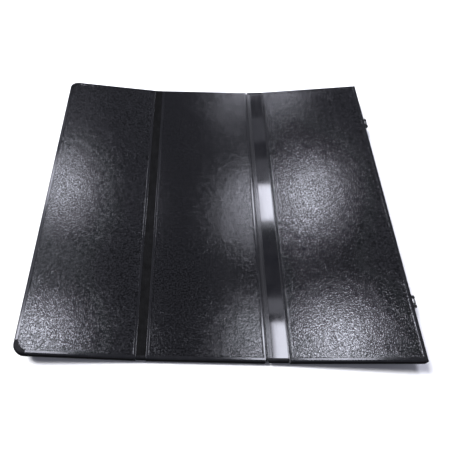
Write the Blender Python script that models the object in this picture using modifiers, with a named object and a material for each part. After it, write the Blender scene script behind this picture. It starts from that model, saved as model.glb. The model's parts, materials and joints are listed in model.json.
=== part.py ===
"""A hard tri-fold tonneau cover for a pickup bed, lying face up with its outer panels resting on
their own clamps. Metres, +Z up, +X towards the cab. The origin is on the floor, under the middle
of the whole."""

import math

import bmesh
import bpy
from mathutils import Vector

# ---- Driving dimensions -------------------------------------------------------------------------
WIDTH = 1.500  # across the truck
TAILGATE_LENGTH = 0.474  # each panel, along the truck
MIDDLE_LENGTH = 0.474
CAB_LENGTH = 0.5156
NARROW_GAP = 0.0385  # between the tailgate and the middle panel
WIDE_GAP = 0.0886  # from the middle panel to the far edge of the link bar
TAILGATE_TILT = math.radians(5.9)
CAB_TILT = math.radians(6.9)
LINK_TILT = CAB_TILT / 2

RAIL_HEIGHT = 0.028
FLANGE = 0.0015  # thickness of a rail's top and bottom flange
WEB = 0.003
SIDE_FLANGE = 0.018  # how far each flange reaches over the skin
CAB_FLANGE = 0.014
HINGE_FLANGE = 0.006  # at the wide hinge, on the middle panel
NARROW_FLANGE = 0.010
CAB_HINGE_FLANGE = 0.008
HINGE_ROUND = 0.0015
BOTTOM_FLANGE = 0.022
RAIL_ROUND = 0.005
END_FLANGE = 0.0135  # of the tailgate end rail
SIDE_ROUND = 0.010  # of the side rails' upper outer edges
SIDE_WALL = 0.0025  # thickness of the rounded shoulder there
SEAL = 0.006  # side seal, from the floor to the rails of the middle panel
SEAL_WIDTH = 0.020
SEAL_INSET = 0.002  # from the rails' outer faces
BULB = 0.010  # radius of the cab end's bulb seal
BULB_CLEARANCE = 0.035  # from a front clamp's middle to the bulb seal's end
GAP = 0.0003  # between neighbours that touch
TOUCH = 0.0001  # by which one body's own pieces stop short of a shared face
FOOT_LIFT = 0.0002  # of the clamps' feet above the floor
SKIN = 0.0015

CORNER_CAP = (0.050, 0.057)  # a corner cap's reach along the truck and across it
CORNER_RADIUS = 0.042
CORNER_INNER_RADIUS = 0.055
CAB_CORNER_RADIUS = 0.009

HINGE_DEPTH = 0.0045  # of the wide hinge's two axes, below the top faces
SOCKET_BORE = 0.0029
SOCKET_OUTER = 0.0045
BEAD = 0.0026
NECK = 0.0018
LINK_END = 0.0048  # from an axis to the link's end face
SOCKET_LIP = math.radians(68)
SOCKET_END = math.radians(-157)
LIP_EDGE = SOCKET_OUTER * math.cos(SOCKET_LIP)
LINK_LEDGE = 0.0215  # where the ledge ends and the groove starts
GROOVE = 0.0040
TRIM = 0.0017  # thickness of the gloss trim strip
LINK_DEPTH = 0.006  # of the link below its axes
LINK_RIB = 0.003
LINK_ROUND = 0.0015
LINK_UNDER = -0.0005  # the underside of the link's web, from its axes
TRIM_ROUND = 0.0005
END_CAP = 0.017
END_CAP_SLANT = 0.006

NARROW_RISE = 0.0015  # of the narrow hinge's axis above the top faces
NARROW_SHIFT = 0.003  # of that axis towards the tailgate, so the folded end clears the link
STRIP = 0.0022
STRIP_DROP = 0.0004
FOLD_STRIP = 0.0010  # the strip's thickness at the fold
FOLD_HALF = 0.0015  # half the width of the groove there
SHELF = 0.008
CAP_SKIRT = (0.0125, 0.009)  # depth and thickness of the wall below the strip's end caps

# Front clamps. X runs back from the cab edge or out from the pin, and depths run down.
FRONT_CLAMP_Y = 0.498
BRACKET_WIDTH = 0.048
BRACKET_REACH = 0.078  # how far the bracket runs back under the panel
BRACKET_PLATE = 0.004
EAR = 0.009  # thickness of each of its two ears
LEG_FRONT = 0.018
LEG_BACK = 0.050
LEG_HEEL = (0.056, 0.030)
LEG_TOE = (0.014, 0.022)
BRACKET_TAIL = 0.012
LEG_WEB = (0.047, 0.042, 0.056)
PIN_X = 0.014
PIN_DROP = 0.013
PIN_RADIUS = 0.004
PIN_HEAD = (0.0065, 0.003)  # radius and thickness
PIN_CHAMFER = 0.0005
EYE_RADIUS = 0.012
EYE_WIDTH = 0.018
SHANK_RADIUS = 0.004
SHANK_CHAMFER = 0.001
BOLT_REACH = 0.056
JAW_TOP = 0.034  # from the pin, as are the next sizes
JAW = 0.008
JAW_PAD = 0.0015
JAW_WIDTH = 0.024
JAW_BACK = 0.011
JAW_PAD_FROM = 0.010
JAW_PAD_TO = 0.030
JAW_LIP = 0.038
JAW_LIP_DROP = 0.006
NUT_GAP = 0.0005
NUT = 0.009
NUT_RADIUS = 0.0125
NUT_LOBE = 0.0012

# Rear clamps. X and Y are from the bracket's middle, outwards positive, and depths run down.
REAR_CLAMP_Y = 0.600
REAR_CLAMP_X = -0.400  # from the narrow hinge's axis
REAR_BRACKET = 0.052  # its length along X
REAR_HALF_WIDTH = 0.028
REAR_LEG = 0.006
REAR_FOOT = 0.016
REAR_BROW = 0.014
REAR_CHEEK = 0.008  # how far a leg runs straight down past the pin
REAR_PIN_RADIUS = 0.003
REAR_PIN_HEAD = (0.005, 0.002)
REAR_PIN_DROP = 0.013
REAR_PIN_OUT = 0.012
ARM_REACH = 0.055
ARM = 0.008
ARM_WIDTH = 0.018
ARM_ROOT = 0.006
ARM_BACK = 0.004
ARM_FILLET = (0.009, 0.005)
TOE = 0.026
SCREW_OUT = 0.016
SCREW_RADIUS = 0.003
SCREW_TOP = 0.040
SCREW_PAD = (0.007, 0.0025)
SCREW_END = 0.076
KNOB_RADIUS = 0.0115
KNOB = 0.010

# ---- Places that follow from them ---------------------------------------------------------------
TOP = SEAL + RAIL_HEIGHT
HALF_WIDTH = WIDTH / 2
HALF_MIDDLE = MIDDLE_LENGTH / 2
LINK_LENGTH = WIDE_GAP + LINK_END - LIP_EDGE  # between the wide hinge's two axes
LINK_AXIS = Vector((HALF_MIDDLE + LIP_EDGE, 0, TOP - HINGE_DEPTH))
CAB_AXIS = LINK_AXIS + LINK_LENGTH * Vector((math.cos(LINK_TILT), 0, math.sin(LINK_TILT)))
NARROW_AXIS = Vector((-HALF_MIDDLE - NARROW_GAP / 2 - NARROW_SHIFT, 0, TOP + NARROW_RISE))
TAILGATE_NEAR = -(NARROW_GAP / 2 - NARROW_SHIFT)  # panel edges, from the axis that each hangs on
TAILGATE_FAR = TAILGATE_NEAR - TAILGATE_LENGTH
CAB_FAR = LIP_EDGE + CAB_LENGTH


# ---- Materials ----------------------------------------------------------------------------------
def material(name, colour, roughness, metallic=0.0):
    made = bpy.data.materials.new(name)
    made.use_nodes = True
    shader = made.node_tree.nodes["Principled BSDF"]
    shader.inputs["Base Color"].default_value = (*colour, 1)
    shader.inputs["Roughness"].default_value = roughness
    shader.inputs["Metallic"].default_value = metallic
    made.diffuse_color = (*colour, 1)
    return made


def clear_scene():
    for obj in list(bpy.data.objects):
        bpy.data.objects.remove(obj, do_unlink=True)


# ---- Outlines -----------------------------------------------------------------------------------
def arc(centre, radius, start, end, steps):
    """Points on a circle from one angle to another, both in radians, ends included."""
    angles = [start + (end - start) * n / steps for n in range(steps + 1)]
    return [(centre[0] + radius * math.cos(a), centre[1] + radius * math.sin(a)) for a in angles]


def box_outline(a, b):
    return [(a[0], a[1]), (b[0], a[1]), (b[0], b[1]), (a[0], b[1])]


def flipped(points, about=0.0):
    """The same outline seen in a mirror at first coordinate = about."""
    return [(2 * about - x, y) for x, y in points]


def moved(points, dx, dy):
    return [(x + dx, y + dy) for x, y in points]


# ---- Solids from outlines -----------------------------------------------------------------------
ALONG = {
    "x": ((math.pi / 2, 0, math.pi / 2), lambda m: (m, 0, 0)),
    "y": ((math.pi / 2, 0, 0), lambda m: (0, m, 0)),
    "z": ((0, 0, 0), lambda m: (0, 0, m)),
}


def extrusion(name, along, loops, low, high, look, parent):
    """Outlines swept along an axis. They are (y, z) along x, (x, z) along y and (x, y) along z."""
    curve = bpy.data.curves.new(name, "CURVE")
    curve.dimensions = "2D"
    curve.fill_mode = "BOTH"
    curve.extrude = (high - low) / 2
    for points in loops:
        spline = curve.splines.new("POLY")
        spline.points.add(len(points) - 1)
        for point, (x, y) in zip(spline.points, points):
            point.co = (x, y, 0, 1)
        spline.use_cyclic_u = True
    curve.materials.append(look)
    obj = bpy.data.objects.new(name, curve)
    turn, place = ALONG[along]
    obj.rotation_euler = turn
    obj.location = place((low + high) / 2)
    obj.parent = parent
    PARTS.objects.link(obj)
    return obj


def stacked(name, levels, look, parent):
    """A solid through outlines of equal length, each a list of places, from its bottom up."""
    work = bmesh.new()
    loops = [[work.verts.new(place) for place in level] for level in levels]
    for below, above in zip(loops, loops[1:]):
        for k in range(len(below)):
            work.faces.new((below[k - 1], below[k], above[k], above[k - 1]))
    work.faces.new(loops[0])
    work.faces.new(loops[-1])
    bmesh.ops.triangulate(work, faces=work.faces)
    bmesh.ops.recalc_face_normals(work, faces=work.faces)
    mesh = bpy.data.meshes.new(name)
    work.to_mesh(mesh)
    work.free()
    mesh.materials.append(look)
    obj = bpy.data.objects.new(name, mesh)
    obj.parent = parent
    PARTS.objects.link(obj)
    return obj


def turned(name, profile, along, start, look, parent, steps=20):
    """A turned piece: profile is (radius, distance along the axis), from the high end to the low."""
    mesh = bpy.data.meshes.new(name)
    points = [(r, 0, h) for r, h in profile]
    mesh.from_pydata(points, [(n, n + 1) for n in range(len(points) - 1)], [])
    mesh.materials.append(look)
    obj = bpy.data.objects.new(name, mesh)
    screw = obj.modifiers.new("turn", "SCREW")
    screw.steps = steps
    screw.render_steps = steps
    screw.use_merge_vertices = True
    screw.merge_threshold = 1e-5
    screw.use_normal_calculate = False
    obj.rotation_euler = {"x": (0, math.pi / 2, 0), "y": (-math.pi / 2, 0, 0), "z": (0, 0, 0)}[along]
    obj.location = start
    obj.parent = parent
    PARTS.objects.link(obj)
    return obj


def as_mesh(obj):
    """The same piece as a plain mesh, with its curve or modifiers worked out and its caps welded."""
    bpy.context.view_layer.update()
    graph = bpy.context.evaluated_depsgraph_get()
    mesh = bpy.data.meshes.new_from_object(obj.evaluated_get(graph))
    work = bmesh.new()
    work.from_mesh(mesh)
    bmesh.ops.remove_doubles(work, verts=work.verts, dist=1e-6)
    bmesh.ops.recalc_face_normals(work, faces=work.faces)
    work.to_mesh(mesh)
    work.free()
    name = obj.name
    made = bpy.data.objects.new(name + "_mesh", mesh)
    made.parent = obj.parent
    made.matrix_local = obj.matrix_local
    PARTS.objects.link(made)
    bpy.data.objects.remove(obj, do_unlink=True)
    made.name = name
    return made


def combined(name, pieces, cutters=()):
    """One body: the first piece joined with the others, less the cutters."""
    whole = as_mesh(pieces[0])
    for operation, others in (("UNION", pieces[1:]), ("DIFFERENCE", cutters)):
        for other in others:
            tool = as_mesh(other)
            tool.hide_render = True
            tool.display_type = "WIRE"
            PARTS.objects.unlink(tool)
            CUTTERS.objects.link(tool)
            change = whole.modifiers.new(operation.lower(), "BOOLEAN")
            change.operation = operation
            change.solver = "EXACT"
            change.object = tool
    whole.name = name
    return whole


def frame_at(name, place, turn=(0, 0, 0), parent=None):
    empty = bpy.data.objects.new(name, None)
    empty.location = place
    empty.rotation_euler = turn
    empty.parent = parent
    empty.empty_display_size = 0.05
    PARTS.objects.link(empty)
    return empty


# ---- Rails --------------------------------------------------------------------------------------
def plain_rail(flange, bottom, rounding=RAIL_ROUND, shelf=0.0):
    """A channel open inwards: outer face at 0, inwards positive, from its bottom up."""
    points = arc((rounding, RAIL_HEIGHT - rounding), rounding, math.pi, math.pi / 2, 5)
    points += [(flange, RAIL_HEIGHT), (flange, RAIL_HEIGHT - FLANGE), (WEB, RAIL_HEIGHT - FLANGE)]
    points += [(WEB, FLANGE), (bottom, FLANGE), (bottom, 0), (0, 0)]
    if shelf:
        shelf_top = RAIL_HEIGHT - STRIP_DROP - STRIP - GAP
        shelf_bottom = shelf_top - FLANGE
        points += [(0, shelf_bottom), (-shelf, shelf_bottom), (-shelf, shelf_top), (0, shelf_top)]
    return points


def side_rail():
    """A side rail's channel, with a broad round shoulder along its upper outer edge."""
    centre = (SIDE_ROUND, RAIL_HEIGHT - SIDE_ROUND)
    points = arc(centre, SIDE_ROUND, math.pi, math.pi / 2, 8)
    points += [(SIDE_FLANGE, RAIL_HEIGHT), (SIDE_FLANGE, RAIL_HEIGHT - FLANGE)]
    points += [(SIDE_ROUND, RAIL_HEIGHT - FLANGE)]
    points += arc(centre, SIDE_ROUND - SIDE_WALL, math.pi / 2, math.pi, 8)
    return [*points, (SIDE_WALL, FLANGE), (BOTTOM_FLANGE, FLANGE), (BOTTOM_FLANGE, 0), (0, 0)]


def round_corners(radius, steps):
    """What rounds a corner at the origin: a square less a quarter disc, reaching beyond it."""
    beyond = radius / 2
    shape = [(-radius, beyond), (beyond, beyond), (beyond, -radius), (0, -radius)]
    return shape + arc((-radius, -radius), radius, 0, math.pi / 2, steps)[1:]


def shoulders(top, x_low, x_high, look, parent):
    """The cutters that round both ends of a piece across the truck like the side rails."""
    cutters = []
    for sign in (-1, 1):
        corner = round_corners(SIDE_ROUND, 8)
        corner = [(sign * (HALF_WIDTH + y), top + z) for y, z in corner]
        cutters.append(extrusion("shoulder", "x", [corner], x_low, x_high, look, parent))
    return cutters


def cross_rail(name, outline, block, look, parent, cutters=()):
    """A rail across the truck, solid for the last of its length and rounded at both ends."""
    pieces = [extrusion(name, "y", [outline], -HALF_WIDTH, HALF_WIDTH, look, parent)]
    for sign in (-1, 1):
        low, high = sorted((sign * (HALF_WIDTH - SIDE_ROUND), sign * (HALF_WIDTH - TOUCH)))
        pieces.append(extrusion("end_block", "y", [box_outline(*block)], low, high, look, parent))
    xs = [x for x, _ in outline]
    top = max(z for _, z in outline)
    ends = shoulders(top, min(xs) - SIDE_ROUND, max(xs) + SIDE_ROUND, look, parent)
    combined(name, pieces, [*ends, *cutters])


def narrow_rail():
    """The channel at the narrow hinge, with the shelf that the flexible strip lies on."""
    return plain_rail(NARROW_FLANGE, NARROW_FLANGE, HINGE_ROUND, SHELF)


def socket_rail(flange):
    """The channel at the wide hinge, measured from the axis: inboard positive, and up."""
    top = HINGE_DEPTH
    bottom = HINGE_DEPTH - RAIL_HEIGHT
    outer_face = SOCKET_OUTER * math.cos(math.radians(60))
    inner_face = outer_face + WEB + GAP
    points = [(LIP_EDGE, top)]
    points += arc((0, 0), SOCKET_BORE, SOCKET_LIP, SOCKET_END, 18)
    points += arc((0, 0), SOCKET_OUTER, SOCKET_END, math.radians(-60), 8)
    reach = LIP_EDGE + flange
    points += [(outer_face, bottom), (reach, bottom), (reach, bottom + FLANGE)]
    points += [(inner_face, bottom + FLANGE), (inner_face, top - FLANGE)]
    points += [(reach, top - FLANGE), (reach, top)]
    return points


SOCKET_INNER_FACE = SOCKET_OUTER * math.cos(math.radians(60)) + WEB + GAP
SOCKET_WEB = SOCKET_INNER_FACE - WEB / 2  # the middle of that rail's web


def side_rails(panel, x_low, x_high, base, looks, parent):
    """The near and the far side rail, with the seal under each. base is the rails' bottom."""
    for side, sign in (("near", -1), ("far", 1)):
        rail = moved(side_rail(), -HALF_WIDTH, base)
        outer = -HALF_WIDTH + SEAL_INSET
        seal = box_outline((outer, base - SEAL), (outer + SEAL_WIDTH, base - GAP))
        if sign > 0:
            rail, seal = flipped(rail), flipped(seal)
        extrusion(f"{panel}_side_rail_{side}", "x", [rail], x_low, x_high, looks["rail"], parent)
        extrusion(f"{panel}_side_seal_{side}", "x", [seal], x_low, x_high, looks["rubber"], parent)


# ---- Panels -------------------------------------------------------------------------------------
def corner_boundary(offset):
    """A tailgate corner cap's inner edge, from its own corner, grown by offset."""
    a = Vector((CORNER_CAP[0], SIDE_FLANGE))
    b = Vector((END_FLANGE, CORNER_CAP[1]))
    across = (b - a) / 2
    reach = math.sqrt(CORNER_INNER_RADIUS**2 - across.length**2)
    centre = a + across + reach * Vector((across.y, -across.x)).normalized()
    start = math.atan2(a.y - centre.y, a.x - centre.x)
    end = math.atan2(b.y - centre.y, b.x - centre.x)
    return arc(centre, CORNER_INNER_RADIUS - offset, start, end, 7)


def inset_at(height, radius):
    """How far a rail's outer face stands in at this height, below an upper edge of this radius."""
    rise = max(0, height - RAIL_HEIGHT + radius)
    return radius - math.sqrt(max(0, radius**2 - rise**2))


def cap_outline(height):
    """A corner cap's section at this height, from the corner where its outer faces would meet."""
    end = inset_at(height, RAIL_ROUND)
    side = inset_at(height, SIDE_ROUND)
    outer = []
    for turn in (math.pi / 16 * n for n in range(9)):
        x = CORNER_RADIUS - (CORNER_RADIUS - end) * math.cos(turn)
        outer.append((x, CORNER_RADIUS - (CORNER_RADIUS - side) * math.sin(turn)))
    return [*outer, (CORNER_CAP[0], side), *corner_boundary(0), (end, CORNER_CAP[1])]


def board_outline(x_low, x_high, notch):
    """A board that fills the rails; notch cuts its two corners at x_low back for the caps."""
    side = SIDE_ROUND + GAP
    edge = HALF_WIDTH - side
    if not notch:
        return box_outline((x_low, -edge), (x_high, edge))
    inset = WEB + GAP
    reach, across = CORNER_CAP
    corner = [(reach + GAP, side), *corner_boundary(GAP), (inset, across + GAP)]
    shift = x_low - inset
    near = [(shift + a, -HALF_WIDTH + b) for a, b in corner]
    far = [(shift + a, HALF_WIDTH - b) for a, b in reversed(corner)]
    return [*near, *far, (x_high, edge), (x_high, -edge)]


def sandwich(panel, x_low, x_high, base, looks, parent, notch=False):
    """The top skin, the foam core and the bottom skin, one on another between the flanges."""
    outline = board_outline(x_low, x_high, notch)
    floor = base + FLANGE + GAP
    roof = base + RAIL_HEIGHT - FLANGE - GAP
    layers = (
        ("bottom_skin", floor, floor + SKIN, "skin"),
        ("foam_core", floor + SKIN + GAP, roof - SKIN - GAP, "foam"),
        ("top_skin", roof - SKIN, roof, "skin"),
    )
    for name, low, high, look in layers:
        extrusion(f"{panel}_{name}", "z", [outline], low, high, looks[look], parent)


def inside(x_a, x_b, base):
    """The section of the block that fills a rail between its flanges, reaching halfway into them."""
    return (x_a, base + FLANGE / 2), (x_b, base + RAIL_HEIGHT - FLANGE / 2)


def middle_panel(looks, parent):
    base = SEAL
    left = moved(narrow_rail(), -HALF_MIDDLE, base)
    right = [(LINK_AXIS.x - p, LINK_AXIS.z + q) for p, q in socket_rail(HINGE_FLANGE)]
    look = looks["rail"]
    block = inside(WEB / 2 - HALF_MIDDLE, NARROW_FLANGE - TOUCH - HALF_MIDDLE, base)
    cross_rail("middle_hinge_rail_narrow", left, block, look, parent)
    block = inside(HALF_MIDDLE - HINGE_FLANGE + TOUCH, LINK_AXIS.x - SOCKET_WEB, base)
    cross_rail("middle_hinge_rail_wide", right, block, look, parent)
    low = -HALF_MIDDLE + NARROW_FLANGE + GAP
    high = HALF_MIDDLE - HINGE_FLANGE - GAP
    side_rails("middle", low, high, base, looks, parent)
    low = -HALF_MIDDLE + WEB + GAP
    high = LINK_AXIS.x - SOCKET_INNER_FACE - GAP
    sandwich("middle", low, high, base, looks, parent)


def tailgate_panel(looks, parent):
    base = SEAL - NARROW_AXIS.z
    hinge = moved(flipped(narrow_rail()), TAILGATE_NEAR, base)
    end = moved(plain_rail(END_FLANGE, SIDE_FLANGE), TAILGATE_FAR, base)
    reach = HALF_WIDTH - CORNER_CAP[1] - GAP
    block = inside(TAILGATE_NEAR - NARROW_FLANGE + TOUCH, TAILGATE_NEAR - WEB / 2, base)
    cross_rail("tailgate_hinge_rail", hinge, block, looks["rail"], parent)
    extrusion("tailgate_end_rail", "y", [end], -reach, reach, looks["rail"], parent)
    low = TAILGATE_FAR + CORNER_CAP[0] + GAP
    high = TAILGATE_NEAR - NARROW_FLANGE - GAP
    side_rails("tailgate", low, high, base, looks, parent)
    low = TAILGATE_FAR + WEB + GAP
    high = TAILGATE_NEAR - WEB - GAP
    sandwich("tailgate", low, high, base, looks, parent, notch=True)
    for side, sign in (("near", -1), ("far", 1)):
        rises = [SIDE_ROUND * math.sin(math.pi / 12 * n) for n in range(7)]
        levels = []
        for height in (0, *(RAIL_HEIGHT - SIDE_ROUND + rise for rise in rises)):
            outline = cap_outline(height)
            level = [(TAILGATE_FAR + a, sign * (HALF_WIDTH - b), base + height) for a, b in outline]
            levels.append(level)
        stacked(f"tailgate_corner_cap_{side}", levels, looks["plastic"], parent)
    lip = TAILGATE_FAR + SEAL_INSET
    seal = box_outline((lip, base - SEAL), (lip + SEAL_WIDTH, base - GAP))
    extrusion("tailgate_end_seal", "y", [seal], -reach, reach, looks["rubber"], parent)


def cab_panel(looks, parent):
    base = HINGE_DEPTH - RAIL_HEIGHT
    hinge = socket_rail(CAB_HINGE_FLANGE)
    end = moved(flipped(plain_rail(CAB_FLANGE, CAB_FLANGE)), CAB_FAR, base)
    block = inside(SOCKET_WEB, LIP_EDGE + CAB_HINGE_FLANGE - TOUCH, base)
    cross_rail("cab_hinge_rail", hinge, block, looks["rail"], parent)
    block = inside(CAB_FAR - CAB_FLANGE + TOUCH, CAB_FAR - WEB / 2, base)
    cutters = corner_cutters(base, looks, parent)
    cross_rail("cab_end_rail", end, block, looks["rail"], parent, cutters)
    low = LIP_EDGE + CAB_HINGE_FLANGE + GAP
    high = CAB_FAR - CAB_FLANGE - GAP
    side_rails("cab", low, high, base, looks, parent)
    low = SOCKET_INNER_FACE + GAP
    high = CAB_FAR - WEB - GAP
    sandwich("cab", low, high, base, looks, parent)
    reach = FRONT_CLAMP_Y - BULB_CLEARANCE
    outer = CAB_FAR - SEAL_INSET
    seal = arc((outer - BULB, base - BULB), BULB, 0, -math.pi, 8)
    seal = [(outer, base - GAP), *seal, (outer - 2 * BULB, base - GAP)]
    extrusion("cab_end_seal", "y", [seal], -reach, reach, looks["rubber"], parent)


def corner_cutters(base, looks, parent):
    """What rounds the cab end rail's two ends, seen from above."""
    low, high = base - CAB_CORNER_RADIUS, base + RAIL_HEIGHT + CAB_CORNER_RADIUS
    cutters = []
    for sign in (-1, 1):
        outline = round_corners(CAB_CORNER_RADIUS, 6)
        outline = [(CAB_FAR + x, sign * (HALF_WIDTH + y)) for x, y in outline]
        cutters.append(extrusion("corner", "z", [outline], low, high, looks["rail"], parent))
    return cutters


# ---- Hinges between the panels ------------------------------------------------------------------
def tilted(point):
    """A point of the narrow hinge, raised with the tailgate panel."""
    x, z = point
    turn = TAILGATE_TILT
    return x * math.cos(turn) + z * math.sin(turn), z * math.cos(turn) - x * math.sin(turn)


def narrow_hinge(looks, parent):
    """The flexible strip, thin at the fold, and its two end caps with a short wall below each half."""
    top = -NARROW_RISE - STRIP_DROP
    low = TAILGATE_NEAR + GAP
    high = TAILGATE_NEAR + NARROW_GAP - GAP
    bottom = top - STRIP
    thin = top - FOLD_STRIP
    strip = [(low, top), (low, bottom), (-FOLD_HALF, bottom), (-FOLD_HALF / 2, thin)]
    strip += [(FOLD_HALF / 2, thin), (FOLD_HALF, bottom), (high, bottom), (high, top)]
    strip = [tilted(point) if point[0] < 0 else point for point in [*strip, (0, top)]]
    reach = HALF_WIDTH - END_CAP - GAP
    extrusion("narrow_hinge_strip", "y", [strip], -reach, reach, looks["rubber"], parent)
    depth, thick = CAP_SKIRT
    clear = SHELF + 2 * GAP
    look = looks["plastic"]
    for side, sign in (("near", -1), ("far", 1)):
        name = f"narrow_hinge_end_cap_{side}"
        a, b = sorted((sign * HALF_WIDTH, sign * (reach + GAP)))
        pieces = [extrusion(name, "y", [strip], a, b, look, parent)]
        a, b = sorted((sign * (HALF_WIDTH - TOUCH), sign * (HALF_WIDTH - thick)))
        for span in ((low + clear, -FOLD_HALF - TOUCH), (FOLD_HALF + TOUCH, high - clear)):
            wall = box_outline((span[0], top - depth), (span[1], top - STRIP / 2))
            wall = [tilted(point) if point[0] < 0 else point for point in wall]
            pieces.append(extrusion("wall", "y", [wall], a, b, look, parent))
        combined(name, pieces, shoulders(top, low - SIDE_ROUND, high + SIDE_ROUND, look, parent))


def link_outline():
    """The link bar's section, from its axis on the middle panel: a channel with a bead at each end."""
    half_neck = NECK / 2
    mouth = math.asin(half_neck / BEAD)
    seat = HINGE_DEPTH - TRIM - GAP
    rib = LINK_RIB
    under = LINK_UNDER
    end = LINK_LENGTH - LINK_END
    points = arc((0, 0), BEAD, mouth, 2 * math.pi - mouth, 16)
    points += [(LINK_END, -half_neck), (LINK_END, -LINK_DEPTH), (LINK_END + rib, -LINK_DEPTH)]
    points += [(LINK_END + rib, under), (LINK_LEDGE - rib, under), (LINK_LEDGE - rib, -LINK_DEPTH)]
    points += [(LINK_LEDGE + rib, -LINK_DEPTH), (LINK_LEDGE + rib, under), (end - rib, under)]
    points += [(end - rib, -LINK_DEPTH), (end, -LINK_DEPTH), (end, -half_neck)]
    points += arc((LINK_LENGTH, 0), BEAD, math.pi + mouth, 3 * math.pi - mouth, 16)
    points += [(end, half_neck), (end, seat), (LINK_LEDGE, seat), (LINK_LEDGE, HINGE_DEPTH)]
    corner = (LINK_END + LINK_ROUND, HINGE_DEPTH - LINK_ROUND)
    points += [*arc(corner, LINK_ROUND, math.pi / 2, math.pi, 4), (LINK_END, half_neck)]
    return points


def wide_hinge(looks, parent):
    """The link bar, the gloss trim strip in its recess, and a cap on each end."""
    reach = HALF_WIDTH - END_CAP - GAP
    low = LINK_LEDGE + GROOVE
    high = LINK_LENGTH - LINK_END
    soft = TRIM_ROUND
    trim = arc((low + soft, HINGE_DEPTH - soft), soft, math.pi, math.pi / 2, 2)
    trim += arc((high - soft, HINGE_DEPTH - soft), soft, math.pi / 2, 0, 2)
    trim += [(high, HINGE_DEPTH - TRIM), (low, HINGE_DEPTH - TRIM)]
    extrusion("wide_hinge_link", "y", [link_outline()], -reach, reach, looks["rail"], parent)
    extrusion("wide_hinge_trim_strip", "y", [trim], -reach, reach, looks["gloss"], parent)
    for side, sign in (("near", -1), ("far", 1)):
        inner = sign * (reach + GAP)
        outer = sign * HALF_WIDTH
        outline = [(LINK_END, inner), (LINK_END + END_CAP_SLANT, outer), (high, outer), (high, inner)]
        name = f"wide_hinge_end_cap_{side}"
        look = looks["plastic"]
        cap = extrusion(name, "z", [outline], -LINK_DEPTH, HINGE_DEPTH, look, parent)
        combined(name, [cap], shoulders(HINGE_DEPTH, 0, LINK_LENGTH, look, parent))


# ---- Front clamps -------------------------------------------------------------------------------
def cab_floor(x):
    """The floor's height in the cab panel's own frame, a hair above it."""
    return (FOOT_LIFT - CAB_AXIS.z - x * math.sin(CAB_TILT)) / math.cos(CAB_TILT)


def tailgate_floor(x):
    return (FOOT_LIFT - NARROW_AXIS.z + x * math.sin(TAILGATE_TILT)) / math.cos(TAILGATE_TILT)


def lobed_outline(radius, depth, lobes, steps):
    angles = [2 * math.pi * n / steps for n in range(steps)]
    radii = [radius + depth * math.cos(lobes * a) for a in angles]
    return [(r * math.cos(a), r * math.sin(a)) for r, a in zip(radii, angles)]


def round_hole(radius, steps=20):
    return arc((0, 0), radius, 0, 2 * math.pi * (1 - 1 / steps), steps - 1)


def drill(name, radius, reach, along, centre, look, parent, steps=20):
    """A round cutter that runs past both ends of its hole."""
    profile = [(0, reach), (radius, reach), (radius, -reach), (0, -reach)]
    return turned(name, profile, along, centre, look, parent, steps)


def headed_pin(radius, head_radius, head, chamfer, reach):
    """A pin's profile, with a head beyond reach at each end."""
    end = [(0, reach + head), (head_radius - chamfer, reach + head)]
    end += [(head_radius, reach + head - chamfer), (head_radius, reach), (radius, reach)]
    return [*end, *[(r, -z) for r, z in reversed(end)]]


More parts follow.
